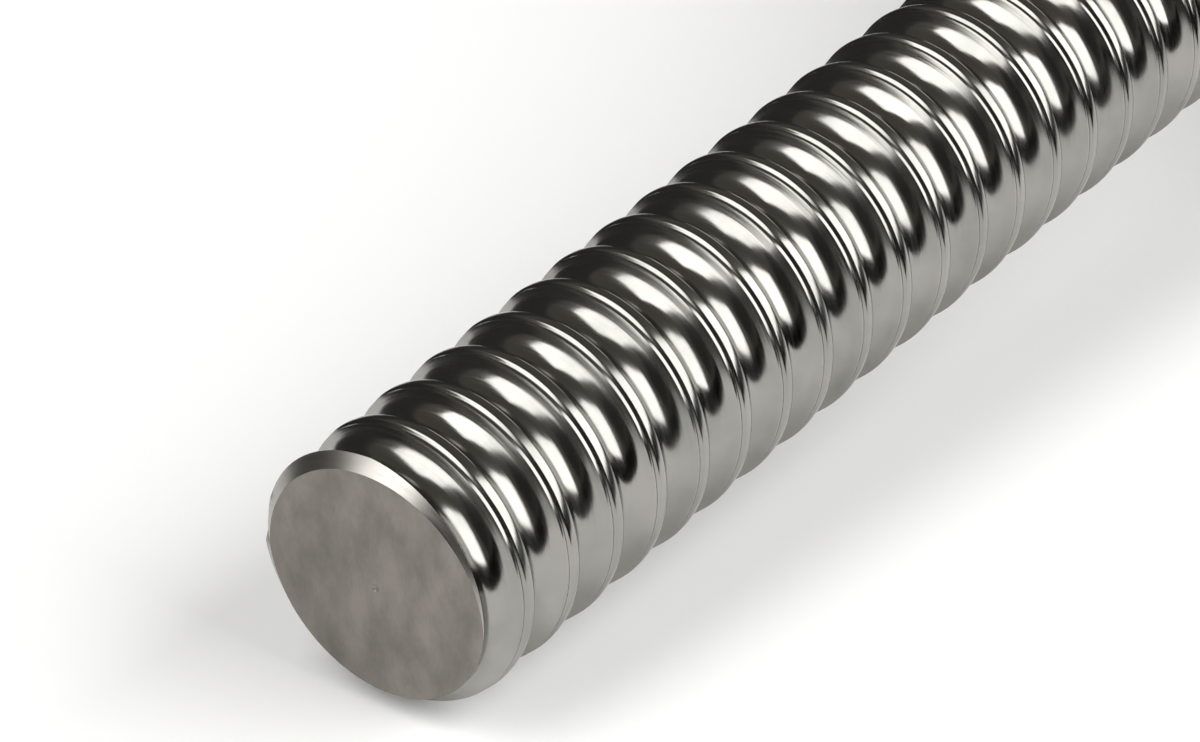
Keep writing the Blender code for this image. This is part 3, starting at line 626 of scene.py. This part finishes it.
def post(name, index, grow, low, high, bevel=0.0):
    """An obround post that stands radially over the crest that a circuit crosses."""
    item = obround(name, PLUG_HALF_WIDTH + grow, PLUG_HALF_LENGTH + grow, low, high, bevel)
    item.matrix_world = (Matrix.Translation((circuit_x(index), 0, AXIS_Z))
                         @ Matrix.Rotation(circuit_angle(index), 4, "X"))
    return item


def make_raceway():
    """A solid with the shape of the space inside the nut's ball thread."""
    start, end = NUT_LOW.x - FREE_X - LEAD, NUT_HIGH.x - FREE_X + LEAD
    form = Thread(raceway_radius, start, end, RACEWAY_COLUMNS, RACEWAY_BANDS)
    form.cap(form.first, start, 0, True)
    form.cap(form.last, end, 0, False)
    return form.build("raceway", ())


def make_nut():
    """Barrel and flange in one piece with bolt holes, wiper seats, oil hole and deflector pockets."""
    length = NUT_HIGH.x - NUT_LOW.x
    flange_at = length - FLANGE_THICK
    profile = rounded([(0, 0), (0, BARREL_R), (flange_at - RELIEF, BARREL_R),
                       (flange_at - RELIEF, BARREL_R - GAP), (flange_at, BARREL_R - GAP),
                       (flange_at, FLANGE_R), (length, FLANGE_R), (length, 0)], NUT_CORNER)
    nut = turned("fine_nut_body", profile, NUT_LOW.x, 120)
    waste = 10 * MM
    flats = [prism("flat", (NUT_LOW.x + flange_at - OVERRUN, -FLANGE_R, low),
                   (NUT_HIGH.x + OVERRUN, FLANGE_R, low + waste))
             for low in (AXIS_Z + FLANGE_FLAT, AXIS_Z - FLANGE_FLAT - waste)]
    nut = boolean(nut, *flats)
    softer = nut.modifiers.new("soft", "BEVEL")
    softer.width, softer.segments, softer.limit_method = 0.4 * MM, 2, "ANGLE"
    softer.angle_limit = math.radians(60)
    nut = settle(nut)
    cutters = [make_raceway()]
    front = Vector((NUT_LOW.x, 0, AXIS_Z))
    rear = Vector((NUT_HIGH.x, 0, AXIS_Z))
    for place, direction in ((front, (1, 0, 0)), (rear, (-1, 0, 0))):
        seat = [(-OVERRUN, 0), (-OVERRUN, WIPER_BORE_R + 1.5 * MM), (0.5 * MM, WIPER_BORE_R),
                (WIPER_BORE_DEPTH, WIPER_BORE_R), (WIPER_BORE_DEPTH, 0)]
        cutters.append(turned("seat", seat, 0, 90, place, direction))
    for side in (-1, 1):
        for turn in (-45, 0, 45):
            angle = math.radians(turn)
            place = (NUT_LOW.x + flange_at, side * FLANGE_PCR * math.cos(angle),
                     AXIS_Z + FLANGE_PCR * math.sin(angle))
            cutters.append(through_hole(FLANGE_HOLE_R, FLANGE_THICK, place, (1, 0, 0)))
    stem_x = sum(corner.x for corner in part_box("grease_nipple")) / 2
    cutters.append(hole(OIL_HOLE_R, 12 * MM, (stem_x, 0, AXIS_Z + FLANGE_FLAT), (0, 0, -1), mouth=0.3 * MM))
    for index in range(CIRCUITS):
        cutters.append(post("pocket", index, GAP / 2, POCKET_INNER_R, BARREL_R + 4 * OVERRUN))
    for cutter in cutters:
        nut = boolean(nut, cutter)
    dress(nut, "nut", ["nut_body"], [NUT_STEEL])


def make_deflector(index):
    """A return plug: its outer face follows the barrel, and an S-shaped channel crosses its inner face."""
    plug = post(f"fine_deflector_{index + 1}", index, 0.0, PLUG_INNER_R, BARREL_R + 3 * OVERRUN)
    length, face_r = NUT_HIGH.x - NUT_LOW.x, BARREL_R - PLUG_SINK
    barrel = turned("barrel", [(0, 0), (0, face_r), (length, face_r), (length, 0)], NUT_LOW.x, 144)
    plug = boolean(plug, barrel, operation="INTERSECT")
    curve = bpy.data.curves.new("channel", "CURVE")
    curve.dimensions = "3D"
    curve.bevel_depth, curve.bevel_resolution, curve.use_fill_caps = CHANNEL_R, 5, True
    line = curve.splines.new("POLY")
    steps = 24
    line.points.add(steps)
    for i, point in enumerate(line.points):
        point.co = (*path_point(index, CHANNEL_SPAN * (2 * i / steps - 1)), 1.0)
    channel = bpy.data.objects.new("channel", curve)
    bpy.context.scene.collection.objects.link(channel)
    plug = boolean(plug, settle(channel))
    dress(plug, "nut", [f"deflector_{index + 1}"], [PLUG_STEEL])


def balls(name, places, radius):
    """Loose balls at a list of places, as one piece."""
    bm = bmesh.new()
    for place in places:
        bmesh.ops.create_icosphere(bm, subdivisions=3, radius=radius, matrix=Matrix.Translation(place))
    return object_from(bm, name)


def make_nut_trim():
    """Deflectors, balls, wipers, snap rings and grease nipple."""
    for index in range(CIRCUITS):
        make_deflector(index)
        places = [path_point(index, 2 * math.pi * i / BALLS_PER_CIRCUIT) for i in range(BALLS_PER_CIRCUIT)]
        train = balls(f"fine_ball_train_{index + 1}", places, BALL_R)
        dress(train, "nut", [f"ball_train_{index + 1}"], [BALL_STEEL], weighted=False)
    for end in ("front", "rear"):
        make_wiper(end)
    make_nipple()


def make_wiper(end):
    """A plastic wiper ring and the open snap ring that keeps it in the nut's end."""
    low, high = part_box(f"wiper_{end}")
    depth = high.x - low.x
    outer = WIPER_BORE_R - GAP
    profile = rounded([(0, WIPER_MOUTH_R), (0, outer), (depth, outer), (depth, WIPER_MOUTH_R),
                       (depth - WIPER_LIP, WIPER_LIP_R), (WIPER_LIP, WIPER_LIP_R)], 0.25 * MM)
    dress(turned(f"fine_wiper_{end}", profile, low.x), "nut", [f"wiper_{end}"], [ACETAL])
    low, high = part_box(f"snap_ring_{end}")
    width, inner = high.x - low.x, outer - SNAP_RING_HEIGHT
    profile = rounded([(0, inner), (0, outer), (width, outer), (width, inner)], 0.12 * MM)
    opening = prism("opening", (low.x - OVERRUN, -SNAP_OPENING_HALF, AXIS_Z),
                    (high.x + OVERRUN, SNAP_OPENING_HALF, AXIS_Z + BEARING_R))
    snap = boolean(turned(f"fine_snap_ring_{end}", profile, low.x), opening)
    dress(snap, "nut", [f"snap_ring_{end}"], [HARDWARE])


def make_nipple():
    """Stem, hexagon, neck and head of the nipple, which stands in the flange's upper flat."""
    low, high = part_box("grease_nipple")
    place = ((low.x + high.x) / 2, 0, low.z)
    stem = OIL_HOLE_R - GAP
    profile = [(0, 0), (0, stem - GAP), (GAP, stem), (7.9 * MM, stem), (8.4 * MM, 2.2 * MM),
               (10.2 * MM, 2.0 * MM), (10.8 * MM, 2.3 * MM), (11.3 * MM, 3.0 * MM), (11.7 * MM, 3.1 * MM),
               (12.5 * MM, 2.9 * MM), (13.2 * MM, 2.4 * MM), (13.7 * MM, 1.7 * MM), (14 * MM, 1.0 * MM),
               (14 * MM, 0.5 * MM), (13.6 * MM, 0.4 * MM), (13.6 * MM, 0)]
    nipple = turned("fine_grease_nipple", profile, 0, HOLE_SIDES, place, (0, 0, 1))
    nut = hexagon(NIPPLE_HEX, 3 * MM, Vector(place) + Vector((0, 0, 5 * MM)), (0, 0, 1))
    softer = nut.modifiers.new("soft", "BEVEL")
    softer.width, softer.segments = 0.2 * MM, 2
    nipple = boolean(nipple, settle(nut), operation="UNION")
    dress(nipple, "nut", ["grease_nipple"], [BRASS])


# ---------------------------------------------------------------- bearing block

def lid_screw_places():
    for side_y in (-1, 1):
        for side_z in (-1, 1):
            yield side_y * LID_SCREW_AT, AXIS_Z + side_z * LID_SCREW_AT


def make_block():
    """The housing: base wings, tower, stepped bore, lid screw threads and base bolt holes."""
    wide, tower, top = BLOCK_HIGH.y, TOWER_WIDTH / 2, BLOCK_HIGH.z
    outline = [(-wide, 0), (wide, 0), (wide, WING_HEIGHT), (tower, WING_HEIGHT), (tower, top),
               (-tower, top), (-tower, WING_HEIGHT), (-wide, WING_HEIGHT)]
    bm = bmesh.new()
    face = bm.faces.new([bm.verts.new((BLOCK_LOW.x, y, z)) for y, z in outline])
    extruded = bmesh.ops.extrude_face_region(bm, geom=[face])["geom"]
    moved = [part for part in extruded if isinstance(part, bmesh.types.BMVert)]
    bmesh.ops.translate(bm, verts=moved, vec=(BLOCK_HIGH.x - BLOCK_LOW.x, 0, 0))
    bmesh.ops.recalc_face_normals(bm, faces=bm.faces)
    bmesh.ops.bevel(bm, geom=list(bm.edges), offset=0.8 * MM, segments=3, affect="EDGES", profile=0.5)
    housing = object_from(bm, "fine_support_block")
    length = BLOCK_HIGH.x - BLOCK_LOW.x
    rear = (BLOCK_HIGH.x, 0, AXIS_Z)
    mouth = 0.6 * MM
    cutters = [through_hole(SEAL_R + GAP, length, (BLOCK_LOW.x, 0, AXIS_Z), (1, 0, 0), mouth, ROUND)]
    bore = [(-OVERRUN, 0), (-OVERRUN, BEARING_R + mouth + OVERRUN), (mouth, BEARING_R + GAP / 2),
            (length - LIP, BEARING_R + GAP / 2), (length - LIP, 0)]
    cutters.append(turned("bore", bore, 0, ROUND, rear, (-1, 0, 0)))
    for side_y in (-1, 1):
        for side_x in (-1, 1):
            x, y = side_x * BASE_HOLE_X, side_y * BASE_HOLE_Y
            cutters.append(through_hole(BASE_HOLE_R, WING_HEIGHT, (x, y, 0), (0, 0, 1)))
            deep = BASE_HEAD_DEPTH
            head = [(-OVERRUN, 0), (-OVERRUN, BASE_HEAD_R + 1.4 * MM), (0.4 * MM, BASE_HEAD_R),
                    (deep, BASE_HEAD_R), (deep, BASE_HOLE_R + 0.4 * MM), (deep + 0.4 * MM, BASE_HOLE_R),
                    (deep + 0.4 * MM, 0)]
            cutters.append(turned("head", head, 0, HOLE_SIDES, (x, y, WING_HEIGHT), (0, 0, -1)))
    for y, z in lid_screw_places():
        cutters.append(hole(LID_SCREW_R + GAP, LID_THREAD_DEPTH, (BLOCK_HIGH.x, y, z), (-1, 0, 0),
                            0.3 * MM, SMALL_HOLE_SIDES))
    for cutter in cutters:
        housing = boolean(housing, cutter)
    dress(housing, "support", ["support_block"], [HOUSING], angle=40)


def make_lid():
    """The holding lid with its spigot, its counterbored holes and its four socket head screws."""
    low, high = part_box("holding_lid")
    plate_x = high.x - LID_THICK
    lid = prism("fine_holding_lid", (plate_x, low.y, low.z), high, 0.9 * MM)
    spigot_r, spigot_end = BEARING_R - GAP, plate_x - low.x + 2 * OVERRUN
    spigot = turned("spigot", [(0, 0), (0, spigot_r - 0.3 * MM), (0.3 * MM, spigot_r),
                               (spigot_end, spigot_r), (spigot_end, 0)], low.x)
    lid = boolean(lid, spigot, operation="UNION")
    cutters = [through_hole(SEAL_R + GAP, high.x - low.x, (low.x, 0, AXIS_Z), (1, 0, 0), 0.5 * MM, 90)]
    for y, z in lid_screw_places():
        cutters.append(through_hole(LID_SCREW_R + GAP, LID_THICK, (plate_x, y, z), (1, 0, 0), 0.2 * MM,
                                    SMALL_HOLE_SIDES))
        head = [(-OVERRUN, 0), (-OVERRUN, 4.5 * MM), (0.3 * MM, COUNTERBORE_R),
                (COUNTERBORE_DEPTH, COUNTERBORE_R), (COUNTERBORE_DEPTH, 0)]
        cutters.append(turned("head", head, 0, HOLE_SIDES, (high.x, y, z), (-1, 0, 0)))
    for cutter in cutters:
        lid = boolean(lid, cutter)
    dress(lid, "support", ["holding_lid"], [HOUSING], angle=40)
    for number, (y, z) in enumerate(lid_screw_places()):
        make_lid_screw(f"lid_screw_{number + 1}", y, z)


def make_lid_screw(name, y, z):
    """A socket head screw."""
    low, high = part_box(name)
    long = high.x - low.x
    head_at = long - LID_HEAD_HEIGHT
    profile = rounded([(0, 0), (0, LID_SCREW_R), (head_at, LID_SCREW_R), (head_at, LID_HEAD_R),
                       (long, LID_HEAD_R), (long, 0)], 0.25 * MM)
    screw = turned("fine_" + name, profile, 0, HOLE_SIDES, (low.x, y, z))
    screw = boolean(screw, hexagon(2.5 * MM, 3 * MM, (high.x - LID_SOCKET_DEPTH, y, z), (1, 0, 0)))
    dress(screw, "support", [name], [HARDWARE])


def race_points(shoulder_r, side, width):
    """The ball groove across a bearing ring: side -1 on an inner ring, +1 on an outer ring."""
    half = math.acos(abs(BEARING_BALL_CIRCLE - shoulder_r) / RACE_R)
    steps = 8
    shares = [2 * step / steps - 1 for step in range(steps + 1)]
    return [(width / 2 + RACE_R * math.sin(half * share),
             BEARING_BALL_CIRCLE + side * RACE_R * math.cos(half * share)) for share in shares]


def make_bearing(number):
    """One bearing of the pair: outer ring, inner ring, cage and balls."""
    names = {part: f"bearing_{number}_{part}" for part in ("outer_ring", "inner_ring", "cage")}
    low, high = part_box(names["outer_ring"])
    width = high.x - low.x
    outer_r, inner_r, small = BEARING_R - GAP / 2, JOURNAL_R + GAP, 0.4 * MM
    groove = race_points(OUTER_SHOULDER_R, 1, width)
    profile = [(0, OUTER_SHOULDER_R), (0, outer_r - small), (small, outer_r), (width - small, outer_r),
               (width, outer_r - small), (width, OUTER_SHOULDER_R)] + groove[::-1]
    ring = turned("fine_" + names["outer_ring"], profile, low.x)
    dress(ring, "support", [names["outer_ring"]], [GROUND])
    groove = race_points(INNER_SHOULDER_R, -1, width)
    profile = [(0, inner_r + small), (0, INNER_SHOULDER_R), *groove, (width, INNER_SHOULDER_R),
               (width, inner_r + small), (width - small, inner_r), (small, inner_r)]
    ring = turned("fine_" + names["inner_ring"], profile, low.x)
    dress(ring, "screw", [names["inner_ring"]], [GROUND])
    cage_low, cage_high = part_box(names["cage"])
    span = cage_high.x - cage_low.x
    inner_r, outer_r = CAGE_R
    profile = rounded([(0, inner_r), (0, outer_r), (span, outer_r), (span, inner_r)], 0.2 * MM)
    cage = turned("fine_" + names["cage"], profile, cage_low.x)
    middle = (cage_low.x + cage_high.x) / 2
    axis = Vector((middle, 0, AXIS_Z))
    pocket = [(0, 0), (0, CAGE_POCKET_R), (5 * MM, CAGE_POCKET_R), (5 * MM, 0)]
    places, pockets, nodes = [], [], []
    for ball in range(BEARING_BALLS):
        outward = Matrix.Rotation(2 * math.pi * ball / BEARING_BALLS, 3, "X") @ Vector((0, 0, 1))
        places.append(axis + outward * BEARING_BALL_CIRCLE)
        pockets.append(turned("pocket", pocket, 0, SMALL_HOLE_SIDES,
                              axis + outward * CAGE_POCKET_START, outward))
        nodes.append(f"bearing_{number}_ball_{ball + 1:02d}")
    dress(boolean(cage, *pockets), "bearing_cages", [names["cage"]], [POLYAMIDE])
    made = balls(f"fine_bearing_{number}_balls", places, BEARING_BALL_R)
    dress(made, "bearing_cages", nodes, [BALL_STEEL], weighted=False)


def make_collar(end):
    low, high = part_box(f"collar_{end}")
    width, inner = high.x - low.x, JOURNAL_R + GAP
    profile = rounded([(0, inner), (0, COLLAR_R), (width, COLLAR_R), (width, inner)], 0.35 * MM)
    collar = turned(f"fine_collar_{end}", profile, low.x)
    dress(collar, "screw", [f"collar_{end}"], [GROUND])


def make_seal(end):
    """A rubber lip seal, with a shallow groove in each side and a lip that tapers to the collar."""
    low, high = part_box(f"oil_seal_{end}")
    width, lip = high.x - low.x, COLLAR_R + GAP
    inset, land_r, groove_r = 0.25 * MM, SEAL_R - 0.3 * MM, SEAL_R - 0.8 * MM
    profile = [(0, lip + 1.2 * MM), (0, SEAL_R - 0.9 * MM), (inset, groove_r), (inset, land_r),
               (2 * inset, SEAL_R), (width - 2 * inset, SEAL_R), (width - inset, land_r),
               (width - inset, groove_r), (width, SEAL_R - 0.9 * MM), (width, lip + 1.2 * MM),
               (width * 0.75, lip + 0.9 * MM), (width * 0.6, lip), (width * 0.4, lip),
               (width * 0.25, lip + 0.9 * MM)]
    seal = turned(f"fine_oil_seal_{end}", profile, low.x)
    dress(seal, "support", [f"oil_seal_{end}"], [RUBBER])


def make_set_screw(number, place, outward):
    """A headless screw along outward from place, with a hexagon socket in its outer end."""
    profile = rounded([(0, 0), (0, SET_SCREW_R), (SET_SCREW_LENGTH, SET_SCREW_R), (SET_SCREW_LENGTH, 0)],
                      0.25 * MM)
    screw = turned(f"fine_lock_set_screw_{number}", profile, 0, 40, place, outward)
    floor = place + outward * (SET_SOCKET_AT - GAP)
    screw = boolean(screw, hexagon(2.0 * MM, 3 * MM, floor, outward))
    dress(screw, "screw", [f"lock_set_screw_{number}"], [HARDWARE])


def make_lock_nut():
    """The round lock nut with four spanner slots and two radial set screws."""
    low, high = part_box("lock_nut")
    width, inner = high.x - low.x, JOURNAL_R + GAP
    profile = rounded([(0, inner), (0, LOCK_NUT_R), (width, LOCK_NUT_R), (width, inner)], 0.7 * MM)
    nut = turned("fine_lock_nut", profile, low.x)
    cutters = []
    for turn in (45, 135, 225, 315):
        slot = prism("slot", (low.x - OVERRUN, -SPANNER_HALF_WIDTH, LOCK_NUT_R - SPANNER_DEPTH),
                     (high.x + OVERRUN, SPANNER_HALF_WIDTH, LOCK_NUT_R + 3 * OVERRUN))
        slot.matrix_world = Matrix.Translation((0, 0, AXIS_Z)) @ Matrix.Rotation(math.radians(turn), 4, "X")
        cutters.append(slot)
    middle = Vector(((low.x + high.x) / 2, 0, AXIS_Z))
    for number, turn in enumerate((0, 90)):
        outward = Matrix.Rotation(math.radians(turn), 3, "X") @ Vector((0, 0, 1))
        cutters.append(hole(SET_HOLE_R, 8 * MM, middle + outward * LOCK_NUT_R, -outward, 0.3 * MM,
                            SMALL_HOLE_SIDES))
        make_set_screw(number + 1, middle + outward * inner, outward)
    for cutter in cutters:
        nut = boolean(nut, cutter)
    dress(nut, "screw", ["lock_nut"], [HARDWARE])


# ---------------------------------------------------------------- studio

CAMERA_PLACE = Vector((-0.405971, -0.180877, 0.246545))
CAMERA_LOOK = Vector((0.659541, 0.483589, -0.575454))
CAMERA_LENS = 162.457
SUBJECT = Vector((FREE_X + 0.05, 0, AXIS_Z))
ROOM_GLOW = 0.13
FLOOR_GLOW = 0.05
ROOM_RADIUS = 2.6
FLOOR_RADIUS = 2.3
FLOOR_DROP = 0.1 * MM        # between the floor and the piece that lies on it
# Softboxes and cards: name, (upper edge, lower edge) as azimuths and elevations, distance, radiance
PANELS = (
    ("softbox_right", (((-108, 56), (-72, 60), (-40, 56)), ((-92, 10), (-45, 6), (2, -2))), 1.2, 3.5),
    ("softbox_left", (((62, 74), (125, 80), (190, 68)), ((112, 40), (138, 26), (176, 19))), 1.2, 3.5),
    ("card_near", (((-178, 42), (-150, 46), (-122, 42)), ((-178, 14), (-150, 17), (-122, 17))), 2.1, 0.04),
)

# Cards along the shaft: name, y, radiance, outline as (x from the free end, height over the axis)
CARDS = (
    ("card_right", -0.095, 0.0, ((-0.30, -0.06), (0.55, -0.08), (0.55, 0.010), (0.15, 0.019), (0.0, 0.025),
                                 (-0.15, 0.050), (-0.30, 0.090))),
    ("card_left", 0.070, 0.05, ((-0.20, -0.06), (0.50, -0.08), (0.50, 0.030), (-0.20, 0.035))),
)


def make_camera():
    data = bpy.data.cameras.new("camera")
    data.lens, data.sensor_width = CAMERA_LENS, 36.0
    data.clip_start, data.clip_end = 0.01, 30.0
    camera = bpy.data.objects.new("camera", data)
    bpy.context.scene.collection.objects.link(camera)
    camera.location = CAMERA_PLACE
    camera.rotation_mode = "QUATERNION"
    camera.rotation_quaternion = CAMERA_LOOK.to_track_quat("-Z", "Y")
    bpy.context.scene.camera = camera


def toward(azimuth, elevation):
    """A direction in degrees: azimuth from +X towards +Y, and elevation above the level."""
    turn, rise = math.radians(azimuth), math.radians(elevation)
    return Vector((math.cos(turn) * math.cos(rise), math.sin(turn) * math.cos(rise), math.sin(rise)))


def make_panel(name, corners, distance, radiance):
    """A softbox or a dark card round the subject. Its upper and lower edges are given as directions."""
    bm = bmesh.new()
    upper, lower = ([bm.verts.new(SUBJECT + toward(*corner) * distance) for corner in edge]
                    for edge in corners)
    for i in range(len(upper) - 1):
        bm.faces.new((upper[i], upper[i + 1], lower[i + 1], lower[i]))
    return hidden_from_camera(bm, name, radiance)


def make_card(name, y, radiance, outline):
    """A dark card along the shaft, which shows only as a reflection."""
    bm = bmesh.new()
    bm.faces.new([bm.verts.new((FREE_X + x, y, AXIS_Z + z)) for x, z in outline])
    card = hidden_from_camera(bm, name, radiance)
    card.visible_diffuse = card.visible_shadow = False
    return card


def hidden_from_camera(bm, name, radiance):
    """A dull black object that gives off an even white light, or none."""
    item = object_from(bm, name)
    item.data.materials.append(glow(name, (0, 0, 0), 1.0, (1.0, 1.0, 1.0), radiance))
    item.visible_camera = False
    return item


def glow(name, colour, rough, light, strength):
    """A dull material for the stage that also gives off a little light of its own."""
    darker = tuple(channel * 0.985 for channel in colour)
    material = surface(name, (colour, darker), (rough, rough), (60, 60, 60), (4, 4, 4),
                       bump=0.02, metallic=0.0)
    shader = material.node_tree.nodes["Principled BSDF"]
    shader.inputs["Specular IOR Level"].default_value = 0.0
    shader.inputs["Emission Color"].default_value = (*light, 1)
    shader.inputs["Emission Strength"].default_value = strength
    return material


def make_floor():
    """A pale surface under the free end and the block's nearer lower edge, on which the unit lies."""
    low = Vector((FREE_X, 0, AXIS_Z - CREST_R))
    edge = Vector((BLOCK_LOW.x, 0, BLOCK_LOW.z))
    tilt = math.atan2(low.z - edge.z, edge.x - low.x)
    bm = bmesh.new()
    bmesh.ops.create_circle(bm, cap_ends=True, segments=ROUND, radius=FLOOR_RADIUS)
    floor = object_from(bm, "floor")
    floor.location = edge - Vector((0, 0, FLOOR_DROP))
    floor.rotation_euler = (0, tilt, 0)
    floor.data.materials.append(glow("floor_paper", (0.93, 0.93, 0.925), 0.85, (1, 1, 1), FLOOR_GLOW))
    return floor


def make_shell():
    """The dim room that the steel reflects. It isn't seen directly."""
    bm = bmesh.new()
    bmesh.ops.create_icosphere(bm, subdivisions=4, radius=ROOM_RADIUS)
    shell = object_from(bm, "room")
    shell.data.materials.append(glow("room_dim", (0, 0, 0), 1.0, (1.0, 0.95, 0.84), ROOM_GLOW))
    shell.visible_camera = False
    return shell


def make_studio():
    make_camera()
    world = bpy.data.worlds.new("world")
    world.use_nodes = True
    background = world.node_tree.nodes["Background"]
    background.inputs["Color"].default_value = (1, 1, 1, 1)
    background.inputs["Strength"].default_value = 1.0
    bpy.context.scene.world = world
    panels = [make_panel(name, corners, distance, radiance) for name, corners, distance, radiance in PANELS]
    cards = [make_card(*card) for card in CARDS]
    make_floor()
    make_shell()
    bpy.context.scene.view_settings.view_transform = "Standard"


make_shaft()
make_nut()
make_nut_trim()
make_block()
make_lid()
for bearing in (1, 2):
    make_bearing(bearing)
for place_on_journal in ("front", "rear"):
    make_collar(place_on_journal)
    make_seal(place_on_journal)
make_lock_nut()
make_studio()
